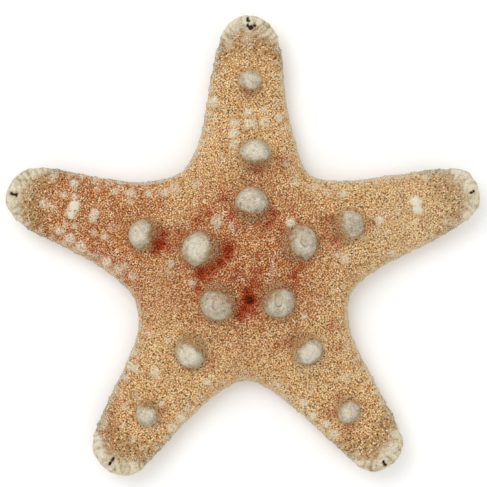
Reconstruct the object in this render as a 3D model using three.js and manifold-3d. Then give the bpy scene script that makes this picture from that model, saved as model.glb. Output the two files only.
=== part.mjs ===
// A dried knobbly starfish that lies on its flat underside: one solid, because it grew as one piece.
// Millimetres, +Z up. The origin is on the plane it rests on, under the middle of its outline, and
// one arm points along +Y. Angles are in degrees, counter-clockwise from +X.

import * as THREE from "three";
import { mergeVertices } from "three/addons/utils/BufferGeometryUtils.js";
import Module from "manifold-3d";

// Where the middle of the disc lies from the origin
const DISC_CENTRE = new THREE.Vector2(1.88, -4.43);

// Thickness of the body at the middle of the disc and at an arm's tip, without the knobs
const DISC_THICKNESS = 20;
const TIP_THICKNESS = 9;
// Height of the widest line of the margin above the underside
const MARGIN_HEIGHT = 4.5;
// How far the underside's edge is tucked in below that line
const UNDERSIDE_TUCK = 3;
// Fullness of the back's cross-section: 2 is an ellipse, and more is squarer
const BACK_FULLNESS = 2.3;

// An arm's tip curls up by this much, from this share of its reach outwards
const TIP_LIFT = 5;
const LIFT_FROM = 0.6;
// The crest of an arm ends this far short of its tip
const TIP_ROUNDING = 8.5;

// Shares of an arm's reach where its half-widths are given: root, middle, shoulder and cap of the tip
const STATIONS = [0.48, 0.66, 0.86, 0.96];

// The five arms, counter-clockwise. Half-widths at the stations are on the clockwise side and on the
// counter-clockwise one. A knob's place is along its arm from the disc's middle and aside of the arm's
// line (positive is counter-clockwise), with the radius of its base, its height and its outward lean.
const ARMS = [
  {
    angle: 16.5,
    reach: 81.6,
    clockwise: [16.7, 13.6, 10.2, 6.5],
    counter: [15.8, 13.1, 10.6, 7.5],
    knobs: [
      { along: 17.7, aside: 0.1, radius: 6.2, height: 7.2, lean: 14 },
      { along: 35.0, aside: 1.0, radius: 5.4, height: 6.0, lean: 28 },
      { along: 45.8, aside: 0.0, radius: 2.1, height: 1.1, lean: 10 },
      { along: 59.5, aside: 0.4, radius: 2.7, height: 1.3, lean: 8 },
    ],
  },
  {
    angle: 90.1,
    reach: 82.5,
    clockwise: [16.0, 12.6, 11.0, 7.3],
    counter: [16.8, 13.8, 10.5, 6.5],
    knobs: [
      { along: 18.0, aside: -1.0, radius: 6.0, height: 7.0, lean: 12 },
      { along: 34.4, aside: -2.3, radius: 5.6, height: 6.0, lean: 20 },
      { along: 45.4, aside: -0.6, radius: 2.3, height: 1.0, lean: 10 },
      { along: 59.5, aside: -0.7, radius: 4.2, height: 3.0, lean: 8 },
    ],
  },
  {
    angle: 164.8,
    reach: 85.0,
    clockwise: [15.6, 13.1, 11.7, 8.3],
    counter: [19.0, 13.9, 10.5, 6.8],
    knobs: [
      { along: 16.3, aside: 1.4, radius: 6.4, height: 7.6, lean: 6 },
      { along: 35.8, aside: 1.6, radius: 5.5, height: 6.4, lean: 16 },
      { along: 54.4, aside: 0.0, radius: 2.1, height: 1.0, lean: 10 },
      { along: 61.6, aside: 0.1, radius: 2.8, height: 1.3, lean: 8 },
    ],
  },
  {
    angle: 236.0,
    reach: 86.5,
    clockwise: [17.3, 13.7, 11.1, 7.8],
    counter: [18.1, 13.6, 10.9, 8.2],
    knobs: [
      { along: 18.1, aside: -0.1, radius: 6.2, height: 7.0, lean: 6 },
      { along: 36.8, aside: 1.6, radius: 5.6, height: 6.0, lean: 20 },
      { along: 62.6, aside: 1.1, radius: 4.3, height: 3.4, lean: 10 },
    ],
  },
  {
    angle: 303.5,
    reach: 85.2,
    clockwise: [18.7, 13.8, 9.5, 6.5],
    counter: [14.8, 12.7, 11.0, 8.5],
    knobs: [
      { along: 17.1, aside: 0.3, radius: 6.1, height: 7.2, lean: 6 },
      { along: 36.2, aside: -0.6, radius: 5.4, height: 6.2, lean: 20 },
      { along: 61.5, aside: -0.4, radius: 4.4, height: 3.4, lean: 8 },
    ],
  },
];

// The bays between an arm and the next one: direction and distance of the innermost point
const BAYS = [
  { angle: 54, distance: 35.0 },
  { angle: 128, distance: 37.2 },
  { angle: 200, distance: 41.2 },
  { angle: 269, distance: 41.5 },
  { angle: 339, distance: 36.9 },
];

// The sieve plate, a low button on the disc towards one bay
const SIEVE_PLATE = { angle: 129.8, distance: 16.4, baseHeight: 18.8, radius: 2.4, height: 0.7, lean: 10 };

// The furrow under each arm, from the mouth out and up round the tip: half-width and depth at both ends
const FURROW_HALF_WIDTH = { mouth: 1.7, tip: 0.55 };
const FURROW_DEPTH = { mouth: 2.6, tip: 1.5 };
const FURROW_START = 2;
// The mouth in the middle of the underside
const MOUTH_RADIUS = 4.2;
const MOUTH_DEPTH = 4;
const MOUTH_FLOOR_RADIUS = 1.6;

// Shape of every bump's flank: 1 is an ellipse, and less is blunter
const BUMP_BLUNTNESS = 0.85;

// Facets: steps along half an arm, up the back, round the margin's lower side and across the underside
const ARM_STEPS = 20;
const BACK_STEPS = 6;
const TUCK_STEPS = 2;
const UNDERSIDE_STEPS = 2;
const BUMP_SIDES = 14;
const BUMP_RINGS = 5;
const MOUTH_SIDES = 10;
// How far a joined piece is sunk in, and how far a cutter stands out
const SINK = 2.5;
const CUTTER_REACH = 1.5;

const SKIN_COLOUR = 0xbe9a72;

const wasm = await Module();
wasm.setup();

function radians(degrees) {
  return THREE.MathUtils.degToRad(degrees);
}

// A closed geometry as a solid that can be joined and cut
function solidFrom(geometry) {
  const bare = geometry.clone();
  bare.deleteAttribute("normal");
  bare.deleteAttribute("uv");
  const welded = mergeVertices(bare, 1e-4);
  const corners = welded.index.array;
  const triangles = [];
  for (let i = 0; i < corners.length; i += 3) {
    const [a, b, c] = corners.slice(i, i + 3);
    if (a !== b && b !== c && c !== a) triangles.push(a, b, c);
  }
  return new wasm.Manifold(
    new wasm.Mesh({
      numProp: 3,
      vertProperties: new Float32Array(welded.attributes.position.array),
      triVerts: new Uint32Array(triangles),
    }),
  );
}

function geometryFrom(solid) {
  const mesh = solid.getMesh();
  const geometry = new THREE.BufferGeometry();
  geometry.setAttribute("position", new THREE.BufferAttribute(mesh.vertProperties, 3));
  geometry.setIndex(new THREE.BufferAttribute(mesh.triVerts, 1));
  geometry.computeVertexNormals();
  return geometry;
}

// A geometry of quads between neighbouring rows of points. A flipped one turns its faces the other way.
function gridGeometry(rows, flipped) {
  const points = rows.flat();
  const across = rows[0].length;
  const index = [];
  for (let row = 0; row + 1 < rows.length; row++) {
    for (let k = 0; k + 1 < across; k++) {
      const a = row * across + k;
      const b = a + across;
      const quad = flipped ? [a, a + 1, b, b, a + 1, b + 1] : [a, b, a + 1, b, b + 1, a + 1];
      index.push(...quad);
    }
  }
  return new THREE.BufferGeometry().setFromPoints(points).setIndex(index);
}

function polar(angle, distance) {
  return new THREE.Vector2(Math.cos(radians(angle)), Math.sin(radians(angle))).multiplyScalar(distance);
}

// A place in the plane, from its distance along an arm and aside of it
function placeOn(arm, along, aside) {
  return polar(arm.angle, along).add(polar(arm.angle + 90, aside));
}

// Control points of the outline: each arm brings the bay before it, one side, the tip and the other side
function outlinePoints() {
  return ARMS.flatMap((arm, i) => {
    const bay = BAYS[(i + BAYS.length - 1) % BAYS.length];
    const side = (widths, sign) => widths.map((w, k) => placeOn(arm, STATIONS[k] * arm.reach, sign * w));
    return [
      polar(bay.angle, bay.distance),
      ...side(arm.clockwise, -1),
      polar(arm.angle, arm.reach),
      ...side(arm.counter, 1).reverse(),
    ];
  });
}

const HALF_ARM_SPANS = STATIONS.length + 1;
const OUTLINE_SPANS = ARMS.length * 2 * HALF_ARM_SPANS;
const outline = new THREE.CatmullRomCurve3(
  outlinePoints().map((p) => new THREE.Vector3(p.x, p.y, 0)),
  true,
);

// The outline on one side of an arm, from the bay (0) to the tip (1)
function edgePoint(armIndex, clockwise, t) {
  const start = 2 * armIndex * HALF_ARM_SPANS;
  const span = clockwise ? start + t * HALF_ARM_SPANS : start + (2 - t) * HALF_ARM_SPANS;
  const point = outline.getPoint((span % OUTLINE_SPANS) / OUTLINE_SPANS);
  return new THREE.Vector2(point.x, point.y);
}

// Distance along an arm of the crest point that faces the edge point at t
function crestAlong(arm, t) {
  return (arm.reach - TIP_ROUNDING) * Math.sin((t * Math.PI) / 2);
}

// Thickness of the body under an arm's crest
function thicknessAt(arm, along) {
  const share = Math.min(along / (arm.reach - TIP_ROUNDING), 1);
  return TIP_THICKNESS + (DISC_THICKNESS - TIP_THICKNESS) * (0.5 + 0.5 * Math.cos(Math.PI * share));
}

// Height of the underside, which curls up towards an arm's tip
function liftAt(arm, place) {
  const share = place.dot(polar(arm.angle, 1)) / arm.reach;
  return TIP_LIFT * THREE.MathUtils.smoothstep(share, LIFT_FROM, 1);
}

// One cut through half an arm: from the middle of the underside, out round the margin and up to the crest
function crossSection(armIndex, clockwise, t) {
  const arm = ARMS[armIndex];
  const edge = edgePoint(armIndex, clockwise, t);
  const along = crestAlong(arm, t);
  const crest = polar(arm.angle, along);
  const halfWidth = edge.distanceTo(crest);
  const rise = thicknessAt(arm, along) - MARGIN_HEIGHT;
  const points = [];
  const add = (inset, height) => {
    const place = inset === 1 ? crest : edge.clone().lerp(crest, inset);
    points.push(new THREE.Vector3(place.x, place.y, liftAt(arm, place) + height));
  };
  const tuck = UNDERSIDE_TUCK / halfWidth;
  for (let k = 0; k < UNDERSIDE_STEPS; k++) add(1 - (1 - tuck) * (k / UNDERSIDE_STEPS), 0);
  for (let k = 0; k < TUCK_STEPS; k++) {
    const turn = (k / TUCK_STEPS) * (Math.PI / 2);
    add(tuck * (1 - Math.sin(turn)), MARGIN_HEIGHT * (1 - Math.cos(turn)));
  }
  for (let k = 0; k < BACK_STEPS; k++) {
    const turn = (k / BACK_STEPS) * (Math.PI / 2);
    const power = 2 / BACK_FULLNESS;
    add(1 - Math.cos(turn) ** power, MARGIN_HEIGHT + rise * Math.sin(turn) ** power);
  }
  add(1, MARGIN_HEIGHT + rise);
  return points;
}

// The body without knobs and furrows: ten half-arms that share their crests, bays and tips
function bodySolid() {
  const position = [];
  ARMS.forEach((arm, i) => {
    for (const clockwise of [true, false]) {
      const rows = [];
      for (let k = 0; k <= ARM_STEPS; k++) rows.push(crossSection(i, clockwise, k / ARM_STEPS));
      const half = gridGeometry(rows, !clockwise).toNonIndexed();
      position.push(...half.attributes.position.array);
    }
  });
  const geometry = new THREE.BufferGeometry();
  geometry.setAttribute("position", new THREE.Float32BufferAttribute(position, 3));
  return solidFrom(geometry);
}

// A blunt upright bump on the body: its base is at a height on a place, and it leans out by an angle
function bumpSolid({ radius, height, lean }, place, baseHeight, outward) {
  const profile = [new THREE.Vector2(0, -SINK), new THREE.Vector2(radius, -SINK)];
  for (let k = 0; k < BUMP_RINGS; k++) {
    const turn = (k / BUMP_RINGS) * (Math.PI / 2);
    profile.push(new THREE.Vector2(radius * Math.cos(turn) ** BUMP_BLUNTNESS, height * Math.sin(turn)));
  }
  profile.push(new THREE.Vector2(0, height));
  const geometry = new THREE.LatheGeometry(profile, BUMP_SIDES);
  geometry.rotateX(Math.PI / 2);
  geometry.rotateY(radians(lean));
  geometry.rotateZ(radians(outward));
  geometry.translate(place.x, place.y, baseHeight);
  return solidFrom(geometry);
}

// A knob stands on its arm's crest and leans out along the arm
function knobSolid(arm, knob) {
  const place = placeOn(arm, knob.along, knob.aside);
  const baseHeight = liftAt(arm, place) + thicknessAt(arm, knob.along);
  return bumpSolid(knob, place, baseHeight, arm.angle);
}

function sievePlateSolid() {
  const place = polar(SIEVE_PLATE.angle, SIEVE_PLATE.distance);
  return bumpSolid(SIEVE_PLATE, place, SIEVE_PLATE.baseHeight, SIEVE_PLATE.angle);
}

// The line of a furrow in its arm's upright plane (along, height): under the crest, then up round the tip
function furrowLine(armIndex) {
  const arm = ARMS[armIndex];
  const line = [new THREE.Vector2(FURROW_START, 0)];
  for (let k = 0; k < ARM_STEPS; k += 2) {
    const along = crestAlong(arm, k / ARM_STEPS);
    if (along > FURROW_START) line.push(new THREE.Vector2(along, liftAt(arm, polar(arm.angle, along))));
  }
  const overTip = crossSection(armIndex, true, 1).slice(UNDERSIDE_STEPS, -2);
  return line.concat(overTip.map((p) => new THREE.Vector2(Math.hypot(p.x, p.y), p.z)));
}

// A tapering furrow to cut out of the underside of an arm
function furrowSolid(armIndex) {
  const arm = ARMS[armIndex];
  const line = furrowLine(armIndex);
  const rows = line.map((p, k) => {
    const share = k / (line.length - 1);
    const half = THREE.MathUtils.lerp(FURROW_HALF_WIDTH.mouth, FURROW_HALF_WIDTH.tip, share);
    const depth = THREE.MathUtils.lerp(FURROW_DEPTH.mouth, FURROW_DEPTH.tip, share);
    const before = line[Math.max(k - 1, 0)];
    const after = line[Math.min(k + 1, line.length - 1)];
    const way = after.clone().sub(before).normalize();
    const inward = new THREE.Vector2(-way.y, way.x);
    const corner = (deep, aside) => {
      const q = p.clone().addScaledVector(inward, deep);
      const place = placeOn(arm, q.x, aside);
      return new THREE.Vector3(place.x, place.y, q.y);
    };
    const floor = half / 2;
    const outer = [corner(-CUTTER_REACH, -half), corner(-CUTTER_REACH, half)];
    const inner = [corner(depth, floor), corner(depth, -floor)];
    return [...outer, ...inner];
  });
  const sides = gridGeometry(rows.map((row) => [...row, row[0]]), true);
  const ends = [rows[0], rows.at(-1)].map(([a, b, c, d], end) => {
    return gridGeometry([[a, b], [d, c]], end === 1);
  });
  const position = [sides, ...ends].flatMap((g) => [...g.toNonIndexed().attributes.position.array]);
  const geometry = new THREE.BufferGeometry();
  geometry.setAttribute("position", new THREE.Float32BufferAttribute(position, 3));
  return solidFrom(geometry);
}

function mouthSolid() {
  const profile = [
    new THREE.Vector2(0, -CUTTER_REACH),
    new THREE.Vector2(MOUTH_RADIUS, -CUTTER_REACH),
    new THREE.Vector2(MOUTH_RADIUS, 0),
    new THREE.Vector2(MOUTH_FLOOR_RADIUS, MOUTH_DEPTH),
    new THREE.Vector2(0, MOUTH_DEPTH),
  ];
  return solidFrom(new THREE.LatheGeometry(profile, MOUTH_SIDES).rotateX(Math.PI / 2));
}

function starfishSolid() {
  let solid = bodySolid();
  for (const arm of ARMS) {
    for (const knob of arm.knobs) solid = solid.add(knobSolid(arm, knob));
  }
  solid = solid.add(sievePlateSolid());
  solid = solid.subtract(mouthSolid());
  ARMS.forEach((arm, i) => {
    solid = solid.subtract(furrowSolid(i));
  });
  return solid;
}

const skin = new THREE.MeshStandardMaterial({ color: SKIN_COLOUR, roughness: 0.9, metalness: 0 });
const starfish = new THREE.Mesh(geometryFrom(starfishSolid()), skin);
starfish.name = "starfish";
starfish.position.set(DISC_CENTRE.x, DISC_CENTRE.y, 0);

const group = new THREE.Group();
group.add(starfish);

export default group;
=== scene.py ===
"""The dried starfish, dressed: bare knobs and warts on a granular skin, with spiny furrows underneath."""

import itertools
import logging
import math
from collections.abc import Iterable
from dataclasses import dataclass
from enum import Enum, StrEnum
from typing import Any

import bmesh
import bpy
import numpy as np
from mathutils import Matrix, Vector, kdtree, noise


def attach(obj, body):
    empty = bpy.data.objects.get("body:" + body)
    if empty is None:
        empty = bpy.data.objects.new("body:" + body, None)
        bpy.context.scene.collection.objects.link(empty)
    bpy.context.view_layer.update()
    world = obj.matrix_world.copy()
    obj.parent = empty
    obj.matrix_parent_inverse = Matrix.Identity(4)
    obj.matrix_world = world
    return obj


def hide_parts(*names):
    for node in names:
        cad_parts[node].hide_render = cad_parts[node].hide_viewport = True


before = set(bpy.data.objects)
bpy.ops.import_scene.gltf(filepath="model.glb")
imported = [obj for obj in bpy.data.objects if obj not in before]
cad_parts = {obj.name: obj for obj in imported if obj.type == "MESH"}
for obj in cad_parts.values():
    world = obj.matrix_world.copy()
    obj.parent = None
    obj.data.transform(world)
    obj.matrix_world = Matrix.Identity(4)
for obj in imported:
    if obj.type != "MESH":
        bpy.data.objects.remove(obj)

log = logging.getLogger("starfish")

MM = 0.001
NODE = "starfish"
BODY = "root"

# Names of the bake map and of what the meshes carry besides the zones
BAKE_MAP = "OFBake"
PATCH = "patch"
TINT = "tint"
FACING = "facing"

# The bake map's width and the height below which the margin is folded out, in millimetres
MAP_SPAN = 184.0
MAP_FOLD = 8.0

# Faces whose normals point down further than this are the underside
UNDER_BELOW = -0.2

# Sizes of the relief's noise, and the pores' spacing and radius, in millimetres; the pores are painted dark
# dots, a painted shade of holes that the mesh doesn't have
NOISE_SIZES = (4.0, 2.4, 1.2)
PORES = (1.0, 0.41)

# Sides of a bead or spine, and the dry skin's specular level
SIDES = 5
GLOSS = 0.12

Array = np.ndarray
Colour = tuple[float, float, float, float]

# A pattern's size in millimetres, its detail and its roughness
Pattern = tuple[float, float, float]


def srgb(red: float, green: float, blue: float) -> Colour:
    """Turns an 8-bit screen colour into the linear colour that a shader takes.

    Args:
        red: Red, from 0 to 255.
        green: Green, from 0 to 255.
        blue: Blue, from 0 to 255.

    Returns:
        The linear colour, opaque.
    """
    parts = [part / 255 for part in (red, green, blue)]
    linear = [p / 12.92 if p <= 0.04045 else ((p + 0.055) / 1.055) ** 2.4 for p in parts]
    return (linear[0], linear[1], linear[2], 1.0)


def ease(low: float, high: float, value: Array) -> Array:
    """Rises smoothly from 0 at low to 1 at high, or falls if high is below low.

    Args:
        low: The value that gives 0.
        high: The value that gives 1.
        value: The values to ease.

    Returns:
        Numbers from 0 to 1, one for each value.
    """
    share = np.clip((value - low) / (high - low), 0.0, 1.0)
    return share * share * (3.0 - 2.0 * share)


class Socket:
    """An output socket on which Python arithmetic adds Math nodes."""

    def __init__(self, tree: "NodeTree", socket: bpy.types.NodeSocket) -> None:
        """Wraps a socket of a tree."""
        self.tree = tree
        self.socket = socket

    def _math(self, operation: str, *values: Any) -> "Socket":
        """Adds a Math node on the values."""
        return self.tree.node("ShaderNodeMath", {"operation": operation}, dict(enumerate(values)))

    def __add__(self, other: Any) -> "Socket":
        """Adds a number or a socket."""
        return self._math("ADD", self, other)

    def __radd__(self, other: Any) -> "Socket":
        """Adds this to a number."""
        return self._math("ADD", other, self)

    def __sub__(self, other: Any) -> "Socket":
        """Takes away a number or a socket."""
        return self._math("SUBTRACT", self, other)

    def __rsub__(self, other: Any) -> "Socket":
        """Takes this away from a number."""
        return self._math("SUBTRACT", other, self)

    def __mul__(self, other: Any) -> "Socket":
        """Multiplies by a number or a socket."""
        return self._math("MULTIPLY", self, other)

    def __rmul__(self, other: Any) -> "Socket":
        """Multiplies a number by this."""
        return self._math("MULTIPLY", other, self)

    def clamp(self) -> "Socket":
        """Keeps the value between 0 and 1."""
        return self._math("MINIMUM", self._math("MAXIMUM", self, 0.0), 1.0)


    def step(self, low: float, high: float) -> "Socket":
        """Rises smoothly from 0 at low to 1 at high, or falls if high is below low.

        Args:
            low: The value that gives 0.
            high: The value that gives 1.

        Returns:
            The eased value.
        """
        rising = high > low
        ends = {1: min(low, high), 2: max(low, high)}
        ends.update({3: 0.0, 4: 1.0} if rising else {3: 1.0, 4: 0.0})
        settings = {"interpolation_type": "SMOOTHSTEP"}
        return self.tree.node("ShaderNodeMapRange", settings, {0: self, **ends})


class NodeTree:
    """A node tree under construction, for a material or for geometry."""

    prefix = "ShaderNode"

    def __init__(self, tree: bpy.types.NodeTree) -> None:
        """Starts on an empty tree."""
        self.tree = tree
        self.tree.nodes.clear()

    def node(
        self,
        kind: str,
        settings: dict[str, Any] | None = None,
        inputs: dict[str | int, Any] | None = None,
        output: str | int = 0,
    ) -> Socket:
        """Adds a node, with its settings first and its inputs after them.

        Args:
            kind: The node's type without its prefix, or with it.
            settings: Properties of the node, and "stops" for a colour ramp.
            inputs: Values or sockets by input name or number.
            output: The output to return.

        Returns:
            The wrapped output.
        """
        name = kind if "Node" in kind else self.prefix + kind
        added = self.tree.nodes.new(name)
        for key, value in (settings or {}).items():
            if key == "stops":
                self._ramp(added, value)
            else:
                setattr(added, key, value)
        for key, value in (inputs or {}).items():
            self.link(value, added.inputs[key])
        return Socket(self, added.outputs[output]) if added.outputs else Socket(self, None)

    def link(self, value: Any, target: bpy.types.NodeSocket) -> None:
        """Links a socket to an input, or sets a value on it.

        Args:
            value: The socket or value.
            target: The input.
        """
        if isinstance(value, Socket):
            self.tree.links.new(value.socket, target)
        else:
            target.default_value = value

    def _ramp(self, added: bpy.types.Node, stops: Iterable[tuple[float, Colour]]) -> None:
        """Sets a colour ramp's stops.

        Args:
            added: The ramp's node.
            stops: Places from 0 to 1, with their colours.
        """
        elements = added.color_ramp.elements
        for index, (place, colour) in enumerate(stops):
            element = elements[index] if index < len(elements) else elements.new(place)
            element.position = place
            element.color = colour


class Shader(NodeTree):
    """A material's tree, with the few patterns that this skin is painted with."""

    def __init__(self, name: str) -> None:
        """Makes a new material with an empty tree.

        Args:
            name: The material's name.
        """
        self.material = bpy.data.materials.new(name)
        self.material.use_nodes = True
        super().__init__(self.material.node_tree)
        self.place = self.node("TexCoord", output="Object")

    def attribute(self, name: str) -> Socket:
        """Reads a number that the mesh carries."""
        return self.node("Attribute", {"attribute_name": name}, output="Fac")

    def noise(self, size_mm: float, detail: float = 2.0, roughness: float = 0.5) -> Socket:
        """A soft pattern with blobs of a size.

        Args:
            size_mm: How far apart the blobs are, in millimetres.
            detail: Octaves of finer pattern.
            roughness: How strong the finer pattern is.

        Returns:
            A value around 0.5.
        """
        scale = 1.0 / (size_mm * MM)
        inputs = {"Vector": self.place, "Scale": scale, "Detail": detail, "Roughness": roughness}
        return self.node("TexNoise", None, inputs, "Fac")

    def dots(self, spacing_mm: float, radius_mm: float) -> Socket:
        """Small scattered dots.

        Args:
            spacing_mm: How far apart the dots are in space, in millimetres.
            radius_mm: Their largest radius, in millimetres.

        Returns:
            1 in the dots and 0 between them.
        """
        inputs = {"Vector": self.place, "Scale": 1.0 / (spacing_mm * MM)}
        share = radius_mm / spacing_mm
        return self.node("TexVoronoi", {"feature": "F1"}, inputs, "Distance").step(share, 0.5 * share)

    def mix(self, factor: Any, first: Any, second: Any) -> Socket:
        """Mixes two colours.

        Args:
            factor: 0 for the first colour and 1 for the second.
            first: A colour or a socket.
            second: A colour or a socket.

        Returns:
            The mixed colour.
        """
        settings = {"data_type": "RGBA", "clamp_factor": True}
        return self.node("Mix", settings, {0: factor, 6: first, 7: second}, 2)

    def surface(
        self, colour: Socket, roughness: float, bump: Socket, depth_mm: float
    ) -> bpy.types.Material:
        """Ends the tree in a matte surface.

        Args:
            colour: The base colour.
            roughness: The roughness.
            bump: Height of the fine relief, from 0 to 1.
            depth_mm: How deep that relief is.

        Returns:
            The finished material.
        """
        relief = {"Strength": 1.0, "Distance": depth_mm * MM, "Height": bump}
        normal = self.node("Bump", None, relief)
        inputs = {"Base Color": colour, "Roughness": roughness, "Normal": normal}
        shader = self.node("BsdfPrincipled", None, {**inputs, "Specular IOR Level": GLOSS})
        self.node("OutputMaterial", None, {"Surface": shader})
        return self.material


class Geometry(NodeTree):
    """A geometry tree with named inputs, run as a modifier and kept as a plain mesh."""

    prefix = "GeometryNode"

    def __init__(self, name: str) -> None:
        """Makes a new tree with a geometry input and output.

        Args:
            name: The tree's name.
        """
        group = bpy.data.node_groups.new(name, "GeometryNodeTree")
        super().__init__(group)
        self.values: dict[str, Any] = {}
        group.interface.new_socket("Geometry", in_out="INPUT", socket_type="NodeSocketGeometry")
        group.interface.new_socket("Geometry", in_out="OUTPUT", socket_type="NodeSocketGeometry")
        self.entry = group.nodes.new("NodeGroupInput")
        self.exit = group.nodes.new("NodeGroupOutput")

    def size(self, name: str, value: Any, kind: str = "Float") -> Socket:
        """Adds a named input with its value.

        Args:
            name: The input's name.
            value: What the modifier sets it to.
            kind: The socket's type.

        Returns:
            The input, to be linked.
        """
        socket = self.tree.interface.new_socket(name, in_out="INPUT", socket_type=f"NodeSocket{kind}")
        self.values[socket.identifier] = value
        return Socket(self, self.entry.outputs[name])

    def geometry(self) -> Socket:
        """The geometry that comes in."""
        return Socket(self, self.entry.outputs["Geometry"])

    def attribute(self, name: str, kind: str = "FLOAT") -> Socket:
        """Reads an attribute that the geometry carries."""
        return self.node("InputNamedAttribute", {"data_type": kind}, {"Name": name})

    def random(self, low: Any, high: Any, seed: Socket) -> Socket:
        """A random number for each point.

        Args:
            low: The lowest number.
            high: The highest number.
            seed: The seed.

        Returns:
            The number.
        """
        inputs = {2: low, 3: high, 8: seed}
        return self.node("FunctionNodeRandomValue", {"data_type": "FLOAT"}, inputs, 1)

    def copies(
        self,
        shape: bpy.types.Object,
        inputs: dict[str, Socket],
        kept: dict[str, tuple[str, Socket]],
        material: bpy.types.Material,
    ) -> Socket:
        """Sets copies of a shape on points and makes them one dressed mesh.

        Args:
            shape: What is copied.
            inputs: The points, and the copies' rotation and scale.
            kept: Attributes that each copy keeps, by name, with their type and value.
            material: The copies' material.

        Returns:
            The mesh.
        """
        instance = self.node("ObjectInfo", None, {0: shape}, "Geometry")
        placed = self.node("InstanceOnPoints", None, {**inputs, "Instance": instance})
        for name, (kind, value) in kept.items():
            settings = {"data_type": kind, "domain": "INSTANCE"}
            stored = {"Geometry": placed, "Name": name, "Value": value}
            placed = self.node("StoreNamedAttribute", settings, stored)
        mesh = self.node("RealizeInstances", None, {0: placed})
        return self.node("SetMaterial", None, {"Geometry": mesh, "Material": material})

    def run(self, result: Socket, source: bpy.types.Mesh, name: str) -> bpy.types.Object:
        """Runs the tree on a mesh and keeps what it makes as a plain mesh.

        Args:
            result: The geometry to give out.
            source: The mesh that goes in.
            name: The new object's name.

        Returns:
            The object, with no modifier on it.
        """
        self.link(result, self.exit.inputs[0])
        piece = bpy.data.objects.new(name, source)
        bpy.context.scene.collection.objects.link(piece)
        modifier = piece.modifiers.new(name, "NODES")
        modifier.node_group = self.tree
        for identifier, value in self.values.items():
            modifier[identifier] = value
        return settle(piece)


def settle(piece: bpy.types.Object) -> bpy.types.Object:
    """Keeps an object's evaluated shape as its own mesh and removes its modifiers.

    Args:
        piece: The object.

    Returns:
        The same object.
    """
    depsgraph = bpy.context.evaluated_depsgraph_get()
    mesh = bpy.data.meshes.new_from_object(piece.evaluated_get(depsgraph), depsgraph=depsgraph)
    piece.modifiers.clear()
    piece.data = mesh
    mesh.name = piece.name
    return piece


def noise_at(points: Array, size: float) -> Array:
    """A soft random pattern in space.

    Args:
        points: Places, in millimetres.
        size: How far apart the pattern's lumps are, in millimetres.

    Returns:
        A number around 0 for each place.
    """
    return np.array([noise.noise(Vector(point) / size) for point in points])


def read(items: Any, name: str, width: int = 1, kind: type = float) -> Array:
    """Reads a property of every vertex, corner or face of a mesh.

    Args:
        items: The mesh's vertices, corners or faces.
        name: The property.
        width: How many numbers it has.
        kind: The numbers' type.

    Returns:
        The numbers, with a row for each item where there are several.
    """
    flat = np.empty(len(items) * width, dtype=kind)
    items.foreach_get(name, flat)
    return flat.reshape(-1, width) if width > 1 else flat


def read_points(mesh: bpy.types.Mesh) -> Array:
    """Reads a mesh's vertices, in millimetres."""
    return read(mesh.vertices, "co", 3) / MM


def write_points(mesh: bpy.types.Mesh, points: Array) -> None:
    """Writes a mesh's vertices, given in millimetres."""
    mesh.vertices.foreach_set("co", (points * MM).ravel())
    mesh.update()


def write_attribute(mesh: bpy.types.Mesh, name: str, values: Array) -> None:
    """Gives a mesh one number for each vertex, under a name."""
    layer = mesh.attributes.new(name, "FLOAT", "POINT")
    layer.data.foreach_set("value", values.astype(np.float32))


def unrolled(points: Array, normals: Array) -> Array:
    """Lays points flat as seen from above, with the steep margin folded out.

    Args:
        points: Vertices, in millimetres.
        normals: Normals at the vertices.

    Returns:
        Flat places, as shares of the bake map's span.
    """
    fold = 0.7 * (MAP_FOLD - np.clip(points[:, 2], 0.0, MAP_FOLD))
    return (points[:, :2] + normals[:, :2] * fold[:, None]) / MAP_SPAN


def write_map(mesh: bpy.types.Mesh, uv: Array) -> None:
    """Gives a mesh the map that its colours are baked through."""
    layer = mesh.uv_layers.new(name=BAKE_MAP)
    layer.data.foreach_set("uv", uv.ravel().astype(np.float32))


def blunt_body(
    name: str, rings: tuple[tuple[float, float], ...], twist: float, radius: float, height: float
) -> bpy.types.Object:
    """Makes a small five-sided body with a closed base and a blunt top.

    Args:
        name: The object's name.
        rings: Widths and heights of its rings, as shares of its size.
        twist: How far a ring is turned from the one below, as a share of a side.
        radius: Its radius, in millimetres.
        height: Its height, in millimetres.

    Returns:
        The object, left out of the scene.
    """
    points = []
    for index, (width, tall) in enumerate(rings):
        for side in range(SIDES):
            turn = math.tau * (side + twist * index) / SIDES
            points.append((width * math.cos(turn), width * math.sin(turn), tall))
    top = len(points)
    points.append((0.0, 0.0, 1.0))
    faces = [tuple(range(SIDES))[::-1]]
    for first in range(0, top, SIDES):
        for side in range(SIDES):
            here = first + side
            beside = first + (side + 1) % SIDES
            if first + SIDES < top:
                faces.append((here, beside, here + SIDES))
                faces.append((beside, beside + SIDES, here + SIDES))
            else:
                faces.append((here, beside, top))
    mesh = bpy.data.meshes.new(name)
    mesh.from_pydata([(x * radius * MM, y * radius * MM, z * height * MM) for x, y, z in points], [], faces)
    mesh.shade_smooth()
    return bpy.data.objects.new(name, mesh)


class Part:
    """A piece of the star, which rides on its one body."""

    def dress(self, piece: bpy.types.Object) -> None:
        """Gives a piece its place in the part."""
        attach(piece, BODY)


@dataclass(frozen=True)
class Knob:
    """A bare blunt knob on an arm's crest, in millimetres.

    Its lean is in degrees, pale is how white its top is, and dimple how deep its pit.
    """

    along: float
    aside: float
    radius: float
    height: float
    lean: float
    pale: float
    dimple: float = 0.0


@dataclass(frozen=True)
class Spot:
    """A round place on the back, in pixels of the photo, and how strong it is."""

    x: float
    y: float
    radius: float
    strength: float = 1.0


def spots(*rows: tuple[float, ...]) -> tuple[Spot, ...]:
    """Makes spots from x, y, radius and, where it isn't 1, strength."""
    return tuple(Spot(*row) for row in rows)


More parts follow.
